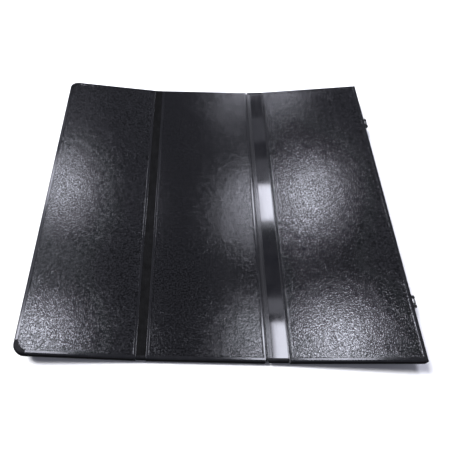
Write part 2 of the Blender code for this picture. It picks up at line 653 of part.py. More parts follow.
def front_clamp(side, sign, looks, cab):
    """A bracket whose legs stand behind the truck's rail, and a swing bolt with jaw and nut before it."""
    top = HINGE_DEPTH - RAIL_HEIGHT - GAP
    centre = sign * FRONT_CLAMP_Y
    half = BRACKET_WIDTH / 2
    inner = half - EAR
    look = looks["cast"]
    nose = (CAB_FAR + PIN_X, top - PIN_DROP)
    front, back = CAB_FAR - LEG_FRONT, CAB_FAR - LEG_BACK
    ear = [(CAB_FAR - BRACKET_REACH, top)]
    ear += arc(nose, PIN_DROP, math.pi / 2, -math.pi / 2, 8)
    ear += [(CAB_FAR - EAR / 2, nose[1] - PIN_DROP), (CAB_FAR - LEG_TOE[0], nose[1] - LEG_TOE[1])]
    ear += [(front, cab_floor(front)), (back, cab_floor(back))]
    ear += [(CAB_FAR - LEG_HEEL[0], top - LEG_HEEL[1]), (CAB_FAR - BRACKET_REACH, top - BRACKET_TAIL)]
    plate = [(CAB_FAR - BRACKET_REACH + TOUCH, top - BRACKET_PLATE), (CAB_FAR, top - TOUCH)]
    web_back, web_front, web_depth = LEG_WEB
    web = [(CAB_FAR - web_back, top - web_depth), (CAB_FAR - web_front, top - BRACKET_PLATE / 2)]
    span = (centre - inner - EAR / 3, centre + inner + EAR / 3)
    pieces = [
        extrusion("ear", "y", [ear], centre - half, centre - inner, look, cab),
        extrusion("ear", "y", [ear], centre + inner, centre + half, look, cab),
        extrusion("plate", "y", [box_outline(*plate)], *span, look, cab),
        extrusion("web", "y", [box_outline(*web)], *span, look, cab),
    ]
    cutter = drill("pin_bore", PIN_RADIUS + GAP, BRACKET_WIDTH, "y", (nose[0], centre, nose[1]), look, cab)
    combined(f"front_clamp_bracket_{side}", pieces, [cutter])

    swing = frame_at(f"front_clamp_swing_{side}", (nose[0], centre, nose[1]), (0, CAB_TILT, 0), cab)
    pin = headed_pin(PIN_RADIUS, *PIN_HEAD, PIN_CHAMFER, half + GAP)
    turned(f"front_clamp_pin_{side}", pin, "y", (0, 0, 0), looks["steel"], swing)

    eye = [(0, EYE_WIDTH / 2), (EYE_RADIUS, EYE_WIDTH / 2), (EYE_RADIUS, -EYE_WIDTH / 2)]
    eye.append((0, -EYE_WIDTH / 2))
    start = -EYE_RADIUS / 3
    shank = [(0, start), (SHANK_RADIUS, start), (SHANK_RADIUS, SHANK_CHAMFER - BOLT_REACH)]
    shank += [(SHANK_RADIUS - SHANK_CHAMFER, -BOLT_REACH), (0, -BOLT_REACH)]
    look = looks["steel"]
    eye = turned("eye", eye, "y", (0, 0, 0), look, swing)
    shank = turned("shank", shank, "z", (0, 0, 0), look, swing, 16)
    hole = drill("eye_hole", PIN_RADIUS + GAP, EYE_WIDTH, "y", (0, 0, 0), look, swing)
    combined(f"front_clamp_swing_bolt_{side}", [eye, shank], [hole])

    look = looks["cast"]
    base = -JAW_TOP - JAW
    pad = -JAW_TOP - JAW_PAD
    lip = -JAW_TOP + JAW_LIP_DROP
    jaw = [(JAW_BACK, base), (JAW_BACK, pad), (JAW_PAD - JAW_PAD_FROM, pad), (-JAW_PAD_FROM, -JAW_TOP)]
    jaw += [(-JAW_PAD_TO, -JAW_TOP), (-JAW_LIP + SHANK_RADIUS, lip), (-JAW_LIP, lip)]
    jaw += [(-JAW_LIP, -JAW_TOP - 2 * JAW_PAD), (-JAW_PAD_TO, base)]
    jaw = extrusion("jaw", "y", [jaw], -JAW_WIDTH / 2, JAW_WIDTH / 2, look, swing)
    bore = drill("jaw_bore", SHANK_RADIUS + GAP, BOLT_REACH, "z", (0, 0, -BOLT_REACH), look, swing, 16)
    combined(f"front_clamp_jaw_{side}", [jaw], [bore])

    high = base - NUT_GAP
    loops = [lobed_outline(NUT_RADIUS, NUT_LOBE, 6, 48), round_hole(SHANK_RADIUS + GAP)]
    name = f"front_clamp_nut_{side}"
    extrusion(name, "z", loops, high - NUT, high, looks["plastic"], swing)


# ---- Rear clamps --------------------------------------------------------------------------------
def rear_clamp(side, sign, looks, tailgate):
    """A bracket standing on the floor, and an arm that swings down and out under the truck's rail."""
    top = SEAL - NARROW_AXIS.z + FLANGE
    centre = sign * REAR_CLAMP_Y
    low = REAR_CLAMP_X - REAR_BRACKET / 2
    high = REAR_CLAMP_X + REAR_BRACKET / 2
    place = (REAR_CLAMP_X, centre + sign * REAR_PIN_OUT, top - REAR_PIN_DROP)
    look = looks["cast"]
    legs = []
    wide = REAR_HALF_WIDTH
    for number, (a, b) in enumerate(((low, low + REAR_LEG), (high - REAR_LEG, high))):
        foot = tailgate_floor(b)
        leg = [(wide, top), (wide, place[2] - REAR_CHEEK), (REAR_FOOT, foot), (-REAR_FOOT, foot)]
        leg += [(-wide, top - REAR_BROW), (-wide, top)]
        leg = [(centre + sign * y, z) for y, z in leg]
        legs.append(extrusion(f"leg_{number}", "x", [leg], a, b, look, tailgate))
    edge = wide - 10 * TOUCH
    plate = box_outline((centre - edge, top - BRACKET_PLATE), (centre + edge, top - TOUCH))
    overlap = REAR_LEG / 2
    plate = extrusion("plate", "x", [plate], low + overlap, high - overlap, look, tailgate)
    bore = REAR_PIN_RADIUS + GAP
    hole = drill("pin_hole", bore, REAR_BRACKET, "x", place, look, tailgate, 16)
    combined(f"rear_clamp_bracket_{side}", [*legs, plate], [hole])

    turn = (-sign * math.pi / 2, 0, 0)
    arm_frame = frame_at(f"rear_clamp_arm_frame_{side}", place, turn, tailgate)
    pin = headed_pin(REAR_PIN_RADIUS, *REAR_PIN_HEAD, TOUCH, REAR_BRACKET / 2 + GAP)
    turned(f"rear_clamp_pin_{side}", pin, "x", (0, 0, 0), looks["steel"], arm_frame, 16)

    out, up = ARM_FILLET
    arm = arc((0, 0), ARM_ROOT, 0, math.pi, 8)
    arm += [(-ARM_BACK, -ARM_REACH), (TOE, -ARM_REACH), (TOE, ARM - ARM_REACH)]
    arm += [(out, ARM - ARM_REACH), (ARM_FILLET[1], ARM - ARM_REACH + up)]
    arm = [(sign * y, z) for y, z in arm]
    arm = extrusion("arm", "x", [arm], -ARM_WIDTH / 2, ARM_WIDTH / 2, look, arm_frame)
    screw_place = (0, sign * SCREW_OUT, 0)
    toe_place = (0, sign * SCREW_OUT, -ARM_REACH)
    hole = drill("arm_pin_hole", bore, ARM_WIDTH, "x", (0, 0, 0), look, arm_frame, 16)
    tapped = drill("screw_bore", SCREW_RADIUS + GAP, 2 * ARM, "z", toe_place, look, arm_frame, 16)
    combined(f"rear_clamp_arm_{side}", [arm], [hole, tapped])

    radius, thick = SCREW_PAD
    round_off = thick / 5
    shoulder = -SCREW_TOP - thick
    screw = [(0, -SCREW_TOP), (radius - round_off, -SCREW_TOP), (radius, -SCREW_TOP - round_off)]
    screw += [(radius, shoulder), (SCREW_RADIUS, shoulder), (SCREW_RADIUS, -SCREW_END), (0, -SCREW_END)]
    turned(f"rear_clamp_screw_{side}", screw, "z", screw_place, looks["steel"], arm_frame, 16)

    knob_frame = frame_at(f"rear_clamp_knob_frame_{side}", screw_place, (0, 0, 0), arm_frame)
    loops = [lobed_outline(KNOB_RADIUS, NUT_LOBE, 5, 40), round_hole(SCREW_RADIUS + GAP, 16)]
    high = -ARM_REACH - NUT_GAP
    extrusion(f"rear_clamp_knob_{side}", "z", loops, high - KNOB, high, looks["plastic"], knob_frame)


# ---- The whole cover ----------------------------------------------------------------------------
def centre_x():
    """How far the middle of the whole lies from the middle panel's, towards the cab."""
    low_z = SEAL - NARROW_AXIS.z
    low = NARROW_AXIS.x + TAILGATE_FAR * math.cos(TAILGATE_TILT) + low_z * math.sin(TAILGATE_TILT)
    pin_z = HINGE_DEPTH - RAIL_HEIGHT - GAP - PIN_DROP
    pin_x = CAB_AXIS.x + (CAB_FAR + PIN_X) * math.cos(CAB_TILT) - pin_z * math.sin(CAB_TILT)
    return (low + pin_x + NUT_RADIUS + NUT_LOBE) / 2


def main():
    looks = {
        "rail": material("black_powder_coat", (0.020, 0.020, 0.022), 0.35, 0.2),
        "skin": material("embossed_black_skin", (0.022, 0.022, 0.025), 0.42),
        "foam": material("foam_core", (0.80, 0.80, 0.76), 0.9),
        "gloss": material("gloss_black_trim", (0.012, 0.012, 0.014), 0.08),
        "rubber": material("black_rubber", (0.015, 0.015, 0.015), 0.75),
        "plastic": material("black_plastic", (0.020, 0.020, 0.020), 0.45),
        "cast": material("black_cast_clamp", (0.025, 0.025, 0.024), 0.5, 0.3),
        "steel": material("zinc_plated_steel", (0.60, 0.60, 0.58), 0.3, 1.0),
    }
    middle = frame_at("middle_frame", (-centre_x(), 0, 0))
    middle_panel(looks, middle)
    tailgate = frame_at("tailgate_frame", NARROW_AXIS, (0, TAILGATE_TILT, 0), middle)
    tailgate_panel(looks, tailgate)
    narrow_hinge(looks, frame_at("narrow_hinge_frame", NARROW_AXIS, parent=middle))
    link = frame_at("link_frame", LINK_AXIS, (0, -LINK_TILT, 0), middle)
    wide_hinge(looks, link)
    cab = frame_at("cab_frame", CAB_AXIS, (0, -CAB_TILT, 0), middle)
    cab_panel(looks, cab)
    for side, sign in (("near", -1), ("far", 1)):
        front_clamp(side, sign, looks, cab)
        rear_clamp(side, sign, looks, tailgate)


clear_scene()
PARTS = bpy.data.collections.new("tonneau_cover")
CUTTERS = bpy.data.collections.new("cutters")
bpy.context.scene.collection.children.link(PARTS)
bpy.context.scene.collection.children.link(CUTTERS)
main()
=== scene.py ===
"""The looks of the folding tonneau cover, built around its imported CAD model."""

import json
import math

import bmesh
import bpy
from mathutils import Matrix, Vector, noise


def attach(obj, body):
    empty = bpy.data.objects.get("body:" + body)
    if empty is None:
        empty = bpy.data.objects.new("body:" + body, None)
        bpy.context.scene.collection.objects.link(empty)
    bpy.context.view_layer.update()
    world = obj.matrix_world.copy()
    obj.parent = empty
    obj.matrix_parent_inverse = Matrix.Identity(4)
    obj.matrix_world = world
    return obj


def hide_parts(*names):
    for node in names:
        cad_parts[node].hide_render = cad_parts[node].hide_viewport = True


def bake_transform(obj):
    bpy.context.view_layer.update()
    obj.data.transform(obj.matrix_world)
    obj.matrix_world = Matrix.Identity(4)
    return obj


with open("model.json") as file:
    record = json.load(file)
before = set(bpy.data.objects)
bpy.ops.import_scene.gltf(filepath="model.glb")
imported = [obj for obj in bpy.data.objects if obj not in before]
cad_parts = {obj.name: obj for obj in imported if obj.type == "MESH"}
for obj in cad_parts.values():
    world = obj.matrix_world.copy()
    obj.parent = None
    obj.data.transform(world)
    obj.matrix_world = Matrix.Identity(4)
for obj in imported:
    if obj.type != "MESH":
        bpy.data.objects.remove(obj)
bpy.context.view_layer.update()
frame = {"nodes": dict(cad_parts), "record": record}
NODES = frame["nodes"]
PLACES = {joint["name"]: joint for joint in frame["record"]["behaviour"]["joints"]}
SIDES = (("near", -1), ("far", 1))

# ---- The panels' own frames, in metres ----------------------------------------------------------
TAILGATE_TILT = math.radians(5.9)
CAB_TILT = math.radians(6.9)
HALF_WIDTH = 0.75
GAP = 0.0003  # between neighbours
SIDE_FLANGE = 0.018  # across each side rail's top
SIDE_ROUND = 0.010  # radius of the shoulder along each side
TOP = 0.034  # of the middle panel
NARROW_AXIS = Vector(PLACES["narrow_hinge"]["pos_m"])
LINK_AXIS = Vector(PLACES["wide_hinge_middle_side"]["pos_m"])
CAB_AXIS = Vector(PLACES["wide_hinge_cab_side"]["pos_m"])
TAILGATE = Matrix.Translation(NARROW_AXIS) @ Matrix.Rotation(TAILGATE_TILT, 4, "Y")
MIDDLE = Matrix.Identity(4)
LINK = Matrix.Translation(LINK_AXIS) @ Matrix.Rotation(-CAB_TILT / 2, 4, "Y")
CAB = Matrix.Translation(CAB_AXIS) @ Matrix.Rotation(-CAB_TILT, 4, "Y")


# ---- Materials ----------------------------------------------------------------------------------
class Look:
    """A Principled material with a few calls that add procedural detail to it."""

    def __init__(self, name, colour, roughness, metallic=0.0, **more):
        self.material = bpy.data.materials.new(name)
        self.material.use_nodes = True
        self.tree = self.material.node_tree
        self.shader = self.tree.nodes["Principled BSDF"]
        self.set("Base Color", (*colour, 1))
        self.set("Roughness", roughness)
        self.set("Metallic", metallic)
        for socket, value in more.items():
            self.set(socket.replace("_", " "), value)
        self.place = self.tree.nodes.new("ShaderNodeTexCoord").outputs["Object"]
        self.normal = None

    def set(self, socket, value):
        self.shader.inputs[socket].default_value = value

    def node(self, kind, **settings):
        made = self.tree.nodes.new(kind)
        for name, value in settings.items():
            setattr(made, name, value)
        return made

    def link(self, a, b):
        self.tree.links.new(a, b)

    def scaled(self, scale):
        """The object's coordinates in metres, times a number for each axis."""
        made = self.node("ShaderNodeVectorMath", operation="MULTIPLY")
        self.link(self.place, made.inputs[0])
        made.inputs[1].default_value = scale if isinstance(scale, tuple) else (scale,) * 3
        return made.outputs[0]

    def noise(self, scale, detail=2.0, roughness=0.5):
        made = self.node("ShaderNodeTexNoise")
        self.link(self.scaled(scale), made.inputs["Vector"])
        made.inputs["Scale"].default_value = 1.0
        made.inputs["Detail"].default_value = detail
        made.inputs["Roughness"].default_value = roughness
        return made.outputs["Fac"]

    def cells(self, scale, smooth):
        made = self.node("ShaderNodeTexVoronoi", feature="SMOOTH_F1")
        self.link(self.scaled(scale), made.inputs["Vector"])
        made.inputs["Scale"].default_value = 1.0
        made.inputs["Smoothness"].default_value = smooth
        return made.outputs["Distance"]

    def bump(self, height, distance):
        made = self.node("ShaderNodeBump")
        made.inputs["Distance"].default_value = distance
        self.link(height, made.inputs["Height"])
        if self.normal is not None:
            self.link(self.normal, made.inputs["Normal"])
        self.normal = made.outputs["Normal"]
        self.link(self.normal, self.shader.inputs["Normal"])

    def between(self, socket, factor, low, high, start=0.3, end=0.7):
        """Drives a socket from low to high as factor goes from start to end."""
        made = self.node("ShaderNodeMapRange")
        for name, value in zip(("From Min", "From Max", "To Min", "To Max"), (start, end, low, high)):
            made.inputs[name].default_value = value
        self.link(factor, made.inputs["Value"])
        self.link(made.outputs["Result"], self.shader.inputs[socket])

    def mottled(self, factor, a, b, start=0.3, end=0.7):
        made = self.node("ShaderNodeValToRGB")
        for element, place, colour in zip(made.color_ramp.elements, (start, end), (a, b)):
            element.position = place
            element.color = (*colour, 1)
        self.link(factor, made.inputs["Fac"])
        self.link(made.outputs["Color"], self.shader.inputs["Base Color"])


def embossed(name, gloss, shine=1.0):
    """Black sheet with a fine pebble grain. A shine below 1 turns its reflection down, which paints
    shade on that copy.
    """
    look = Look(name, (0.005, 0.005, 0.006), 0.13 - gloss)
    look.bump(look.noise(24, 1, 0.4), 0.00060)
    look.bump(look.noise(250, 0.6, 0.5), 0.00056)
    look.bump(look.cells(230, 0.35), 0.00013)
    look.between("Roughness", look.noise(9, 3), 0.11 - gloss, 0.15 - gloss)
    level = look.noise(150, 1, 0.5)
    look.between("Specular IOR Level", level, 0.30 * shine, 0.70 * shine, 0.37, 0.63)
    look.mottled(level, (0.0010, 0.0010, 0.0012), (0.0075, 0.0075, 0.0088), 0.38, 0.62)
    return look.material


def powder_coat(name, roughness):
    look = Look(name, (0.006, 0.006, 0.007), roughness)
    look.bump(look.noise(520, 2, 0.5), 0.00006)
    look.bump(look.noise(60, 2, 0.5), 0.00006)
    look.between("Roughness", look.noise(14, 3), roughness - 0.04, roughness + 0.05)
    look.mottled(look.noise(30, 3), (0.004, 0.004, 0.005), (0.007, 0.007, 0.008))
    return look.material


def extruded_satin():
    """The link bar's ledge: glossier, with fine lines along the extrusion."""
    look = Look("link_satin_black", (0.009, 0.009, 0.010), 0.16)
    look.bump(look.noise((1500, 3, 1500), 2, 0.5), 0.00003)
    look.bump(look.noise((40, 5, 40), 1, 0.5), 0.00008)
    look.between("Roughness", look.noise((400, 2, 400), 2), 0.12, 0.21)
    look.mottled(look.noise((300, 4, 300), 2), (0.007, 0.007, 0.008), (0.012, 0.012, 0.013))
    return look.material


def gloss_trim():
    look = Look("gloss_trim_black", (0.004, 0.004, 0.005), 0.05)
    look.bump(look.noise((26, 4, 26), 1, 0.4), 0.00006)
    look.between("Roughness", look.noise((30, 6, 30), 3), 0.06, 0.10)
    look.mottled(look.noise(18, 2), (0.003, 0.003, 0.004), (0.006, 0.006, 0.007))
    return look.material


def rubber(name, roughness=0.55):
    look = Look(name, (0.006, 0.006, 0.006), roughness, Specular_IOR_Level=0.06)
    look.bump(look.noise(900, 2, 0.6), 0.00005)
    look.bump(look.noise((60, 9, 60), 2, 0.5), 0.00008)
    look.between("Roughness", look.noise(24, 3), roughness - 0.06, roughness + 0.08)
    look.mottled(look.noise(35, 3), (0.002, 0.002, 0.002), (0.005, 0.005, 0.0052))
    return look.material


def moulded(name, roughness=0.36):
    look = Look(name, (0.005, 0.005, 0.006), roughness, Specular_IOR_Level=0.11)
    look.bump(look.noise(700, 2, 0.5), 0.00007)
    look.between("Roughness", look.noise(40, 3), roughness - 0.04, roughness + 0.07)
    look.mottled(look.noise(50, 3), (0.004, 0.004, 0.0045), (0.007, 0.007, 0.008))
    return look.material


def cast():
    look = Look("cast_black", (0.016, 0.016, 0.016), 0.45, 0.0)
    look.bump(look.noise(420, 3, 0.6), 0.00012)
    look.bump(look.noise(70, 2, 0.5), 0.00015)
    look.between("Roughness", look.noise(60, 3), 0.38, 0.55)
    look.mottled(look.noise(80, 4), (0.011, 0.011, 0.011), (0.022, 0.022, 0.021))
    return look.material


def zinc():
    look = Look("zinc_plate", (0.60, 0.60, 0.57), 0.3, 1.0)
    look.bump(look.noise(600, 2, 0.5), 0.00002)
    look.between("Roughness", look.noise(120, 4), 0.22, 0.40)
    look.mottled(look.noise(160, 4), (0.48, 0.47, 0.43), (0.70, 0.70, 0.68))
    return look.material


def foam():
    look = Look("foam_board", (0.75, 0.75, 0.70), 0.85)
    look.bump(look.cells(420, 0.3), 0.0003)
    look.mottled(look.cells(420, 0.3), (0.78, 0.78, 0.73), (0.62, 0.62, 0.57), 0.2, 0.7)
    return look.material


def studio_floor():
    look = Look("studio_floor", (0.90, 0.90, 0.91), 0.8)
    look.mottled(look.noise(3, 2), (0.89, 0.89, 0.90), (0.91, 0.91, 0.92))
    return look.material


LOOKS = {
    "skin": embossed("skin_outer_panels", 0.0),
    # Painted shade: the middle panel's copy reflects only 0.68 as much, though it is the same skin as
    # the outer panels'.
    "middle": embossed("skin_middle_panel_painted_shade", 0.0, 0.68),
    "underside": embossed("skin_underside", -0.12),
    "rail": powder_coat("rail_powder_coat", 0.15),
    "link": extruded_satin(),
    "trim": gloss_trim(),
    "seal": rubber("seal_rubber", 0.62),
    "strip": rubber("hinge_rubber", 0.45),
    "plastic": moulded("moulded_black"),
    "knob": moulded("knob_black", 0.42),
    "cast": cast(),
    "zinc": zinc(),
    "foam": foam(),
}


# ---- Mesh helpers -------------------------------------------------------------------------------
def from_bmesh(name, work, matrix, look, smooth=40):
    mesh = bpy.data.meshes.new(name)
    bmesh.ops.recalc_face_normals(work, faces=work.faces)
    work.transform(matrix)
    work.to_mesh(mesh)
    work.free()
    obj = bpy.data.objects.new(name, mesh)
    mesh.materials.append(look)
    bpy.context.scene.collection.objects.link(obj)
    shade(obj, smooth)
    return obj


def shade(obj, degrees):
    for face in obj.data.polygons:
        face.use_smooth = True
    obj.data.set_sharp_from_angle(angle=math.radians(degrees))


def swept(name, outline, low, high, matrix, look, rings=1, smooth=40):
    """A closed outline of (x, z) swept along y from low to high, in rings equal steps."""
    work = bmesh.new()
    loops = []
    for n in range(rings + 1):
        y = low + (high - low) * n / rings
        loops.append([work.verts.new((x, y, z)) for x, z in outline])
    for a, b in zip(loops, loops[1:]):
        for k in range(len(outline)):
            j = (k + 1) % len(outline)
            work.faces.new((a[k], a[j], b[j], b[k]))
    work.faces.new(loops[0])
    work.faces.new(list(reversed(loops[-1])))
    return from_bmesh(name, work, matrix, look, smooth)


def swept_x(name, outline, low, high, matrix, look, smooth=40):
    """A closed outline of (y, z) swept along x."""
    turn = matrix @ Matrix.Rotation(-math.pi / 2, 4, "Z")
    return swept(name, [(-y, z) for y, z in outline], low, high, turn, look, 1, smooth)


def steps(low, high, pitch, edge=()):
    """Places from low to high at about the pitch, with extra ones at these distances from both ends."""
    inner_low = low + (edge[-1] if edge else 0)
    inner_high = high - (edge[-1] if edge else 0)
    count = max(1, round((inner_high - inner_low) / pitch))
    middle = [inner_low + (inner_high - inner_low) * n / count for n in range(count + 1)]
    start = [low, *(low + e for e in edge[:-1])]
    end = [*(high - e for e in reversed(edge[:-1])), high]
    return [*start, *middle, *end]


# ---- Embossed skins -----------------------------------------------------------------------------
CELL = 0.006  # of the skins' meshes
SHY = 0.0002  # by which a skin stops short of its rails
END_FLANGE = 0.0135  # of the tailgate end rail
CORNER_CAP = (0.050, 0.057)  # a corner cap's reach along the truck and across it
CORNER_RADIUS = 0.055  # of the skin's corner
BORDER = (0.0004, 0.0008, 0.0013, 0.0020)  # rows of the rolled border, from the edge
BORDER_LIFT = 0.00030
SKIN_TOP = -0.0006  # from the flange's top face
SKIN_BOTTOM = -0.0030


def grained_skin(name, matrix, x_low, x_high, top, seed, look, corners=False):
    """A skin between the flanges: a smooth rolled border round a field with a slow waviness."""
    xs = steps(x_low, x_high, CELL, BORDER)
    inset = SIDE_FLANGE + SHY
    corner = CORNER_CAP[0]
    radius = CORNER_RADIUS - SHY
    # The corner's arc runs from the end rail to the side rail, as the cap's inner edge does.
    arc_end = Vector((corner, SIDE_FLANGE))
    chord = (Vector((END_FLANGE, CORNER_CAP[1])) - arc_end) / 2
    reach = math.sqrt(CORNER_RADIUS**2 - chord.length**2)
    centre = arc_end + chord + reach * Vector((chord.y, -chord.x)).normalized()
    origin = x_low - END_FLANGE - SHY

    def edge_y(x):
        across = x - origin
        if corners and across < corner:
            return max(inset, centre.y - math.sqrt(radius**2 - (across - centre.x) ** 2))
        return inset

    def lift(x, y):
        near = HALF_WIDTH - abs(y)
        s = min(x - x_low, x_high - x, near - inset)
        if corners and x - origin < centre.x and near < centre.y:
            away = math.hypot(x - origin - centre.x, near - centre.y)
            s = min(s, radius - away)
        t = min(1.0, max(0.0, s) / BORDER[-1])
        roll = BORDER_LIFT * (1 - t) ** 2 * (1 + 2 * t)
        wave = noise.noise(Vector((x * 5.5, y * 4.2, seed))) * 0.00050
        wave += noise.noise(Vector((x * 16, y * 13, seed + 7))) * 0.00010
        return roll + wave * t

    limits = [HALF_WIDTH - edge_y(x) for x in xs]
    rows = [steps(-limit, limit, CELL, BORDER) for limit in limits]
    if len({len(row) for row in rows}) > 1:
        # Rounded corners: the same number of points in every row, spread over its width.
        half = 0.73
        whole = steps(-1.0, 1.0, CELL / half, tuple(e / half for e in BORDER))
        rows = [[y * limit for y in whole] for limit in limits]
    work = bmesh.new()
    grid = []
    for x, ys in zip(xs, rows):
        grid.append([work.verts.new((x, y, top + SKIN_TOP + lift(x, y))) for y in ys])
    for one, two in zip(grid, grid[1:]):
        for k in range(len(one) - 1):
            work.faces.new((one[k], two[k], two[k + 1], one[k + 1]))
    loop = [row[0] for row in grid] + grid[-1][1:] + [row[-1] for row in reversed(grid[:-1])]
    loop += list(reversed(grid[0][1:-1]))
    low = [work.verts.new((v.co.x, v.co.y, top + SKIN_BOTTOM)) for v in loop]
    for k in range(len(loop)):
        j = (k + 1) % len(loop)
        work.faces.new((loop[k], loop[j], low[j], low[k]))
    work.faces.new(low)
    return from_bmesh(name, work, matrix, look, 60)


# Each panel's top face and its two edges along the truck, in its own frame.
TAILGATE_TOP = -0.0015
CAB_TOP = 0.0045
TAILGATE_LENGTH = 0.474
CAB_LENGTH = 0.5156
NARROW_REACH = 0.02225  # from the narrow hinge's axis to the middle panel
BEAD_REACH = 0.0016857  # from a wide hinge's axis to the panel it turns
TAILGATE_NEAR = -0.01625
TAILGATE_FAR = TAILGATE_NEAR - TAILGATE_LENGTH
MIDDLE_LOW = NARROW_AXIS.x + NARROW_REACH
MIDDLE_HIGH = LINK_AXIS.x - BEAD_REACH
CAB_FAR = BEAD_REACH + CAB_LENGTH
# The top flanges that the skins lie between.
HINGE_FLANGE = 0.006
NARROW_FLANGE = 0.010
CAB_HINGE_FLANGE = 0.008
CAB_FLANGE = 0.014
SKINS = (
    ("tailgate", TAILGATE, TAILGATE_FAR + END_FLANGE, TAILGATE_NEAR - NARROW_FLANGE, TAILGATE_TOP, True),
    ("middle", MIDDLE, MIDDLE_LOW + NARROW_FLANGE, MIDDLE_HIGH - HINGE_FLANGE, TOP, False),
    ("cab", CAB, BEAD_REACH + CAB_HINGE_FLANGE, CAB_FAR - CAB_FLANGE, CAB_TOP, False),
)
for number, (panel, matrix, low, high, top, corners) in enumerate(SKINS):
    look = LOOKS["middle" if panel == "middle" else "skin"]
    skin = grained_skin(
        f"{panel}_embossed_skin", matrix, low + SHY, high - SHY, top, number * 3.7, look, corners
    )
    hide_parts(f"{panel}_top_skin")
    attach(skin, f"{panel}_panel")


# ---- Seals --------------------------------------------------------------------------------------
def seal_outline(half, height):
    """A sponge strip's section: flat on top, rounded below, with two grooves along its underside."""
    r = 0.0022
    groove = 0.0012
    points = [(-half, height), (half, height)]
    points += [(half - r + r * math.cos(a), r - r * math.sin(a)) for a in (0.0, 0.52, 1.05, 1.57)]
    for centre in (half * 0.33, -half * 0.33):
        points += [(centre + groove * 1.4, 0), (centre + groove * 0.6, groove)]
        points += [(centre - groove * 0.6, groove), (centre - groove * 1.4, 0)]
    points += [(-half + r - r * math.cos(a), r - r * math.sin(a)) for a in (1.57, 1.05, 0.52, 0.0)]
    return points


SEAL_INSET = 0.012  # of a seal's middle line from the panel's edge
SEAL_Y = HALF_WIDTH - SEAL_INSET
SEAL_HALF = 0.010
SEAL_HEIGHT = 0.0057
SEAL_DEPTH = TOP  # of a seal's underside, from the panel's top face
SEAL_SPANS = (
    ("tailgate", TAILGATE, TAILGATE_FAR + CORNER_CAP[0], TAILGATE_NEAR - NARROW_FLANGE, TAILGATE_TOP),
    ("middle", MIDDLE, MIDDLE_LOW + NARROW_FLANGE, MIDDLE_HIGH - HINGE_FLANGE, TOP),
    ("cab", CAB, BEAD_REACH + CAB_HINGE_FLANGE, CAB_FAR - CAB_FLANGE, CAB_TOP),
)
section = seal_outline(SEAL_HALF, SEAL_HEIGHT)
for panel, matrix, low, high, top in SEAL_SPANS:
    low, high, base = low + GAP, high - GAP, top - SEAL_DEPTH
    for side, sign in SIDES:
        outline = [(sign * SEAL_Y + y, base + z) for y, z in section]
        piece = swept_x(f"{panel}_sponge_seal_{side}", outline, low, high, matrix, LOOKS["seal"])
        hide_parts(f"{panel}_side_seal_{side}")
        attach(piece, f"{panel}_panel")
outline = [(TAILGATE_FAR + SEAL_INSET + x, TAILGATE_TOP - SEAL_DEPTH + z) for x, z in section]
reach = HALF_WIDTH - CORNER_CAP[1] - GAP
piece = swept("tailgate_sponge_seal_end", outline, -reach, reach, TAILGATE, LOOKS["seal"])
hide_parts("tailgate_end_seal")
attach(piece, "tailgate_panel")


# ---- Narrow hinge -------------------------------------------------------------------------------
STRIP_TOP = -0.0019  # from the hinge's axis
STRIP_LOW = -0.0041


def bent(x, z):
    """A point of the strip's section, raised with the tailgate panel on its side of the fold."""
    turn = TAILGATE_TILT * min(1.0, max(0.0, (0.003 - x) / 0.006))
    return x * math.cos(turn) + z * math.sin(turn), z * math.cos(turn) - x * math.sin(turn)


def strip_outline(low, high, top, bottom, rib):
    """The strip's section, with grooves rib deep along its top and a thinned fold at 0."""
    count = 46
    pitch = 0.0062
    thinned, half_fold = 0.0011, 0.002
    xs = [low + (high - low) * n / count for n in range(count + 1)]
    upper = [(x, top - rib * (0.5 + 0.5 * math.cos(2 * math.pi * x / pitch)) ** 3) for x in xs]
    lower = [(x, bottom + thinned * max(0.0, 1 - (x / half_fold) ** 2)) for x in xs]
    return [bent(*p) for p in upper] + [bent(*p) for p in reversed(lower)]


END_CAP = 0.017  # the reach of a plug from the strip's end to the side
STRIP_FROM = TAILGATE_NEAR + GAP
STRIP_TO = NARROW_REACH - GAP
PLUG_LIFT = 0.0007  # of a plug's top over the strip's
PLUG_WALL = 0.0100  # height of the wall under a plug
PLUG_WALL_X = (-0.0080, 0.0140)
FOLD_SLOT = 0.0016  # half the slot in the wall, under the fold
# Rows across a plug: its flat part, its wall, and the round shoulder's steps.
PLUG_ROWS = (0.7330, 0.7370, 0.7409, 0.7411, 0.7430, 0.7448, 0.7464, 0.7478, 0.7489, 0.7497, 0.7500)
WALL_START = 0.7410


def end_plug(name, sign):
    """A cap on the strip: flat, then rounded down like the rails, with a short wall under each half."""
    section = strip_outline(STRIP_FROM, STRIP_TO, STRIP_TOP + PLUG_LIFT, STRIP_LOW, 0.0)
    half = len(section) // 2
    work = bmesh.new()
    loops = []
    for y in PLUG_ROWS:
        out = max(0.0, y - (HALF_WIDTH - SIDE_ROUND))
        drop = SIDE_ROUND - math.sqrt(max(0.0, SIDE_ROUND**2 - out**2))
        heights = [z - drop for _, z in section[:half]]
        for k, (x, z) in enumerate(section[half:]):
            if y > WALL_START and abs(x) > FOLD_SLOT and PLUG_WALL_X[0] < x < PLUG_WALL_X[1]:
                heights.append(z - PLUG_WALL)
            else:
                heights.append(min(z, heights[half - 1 - k] - 0.0005))
        loops.append([work.verts.new((x, sign * y, z)) for (x, _), z in zip(section, heights)])
    for a, b in zip(loops, loops[1:]):
        for k in range(len(a)):
            work.faces.new((a[k - 1], a[k], b[k], b[k - 1]))
    work.faces.new(loops[0])
    work.faces.new(loops[-1])
    return from_bmesh(name, work, NARROW, LOOKS["plastic"], 40)


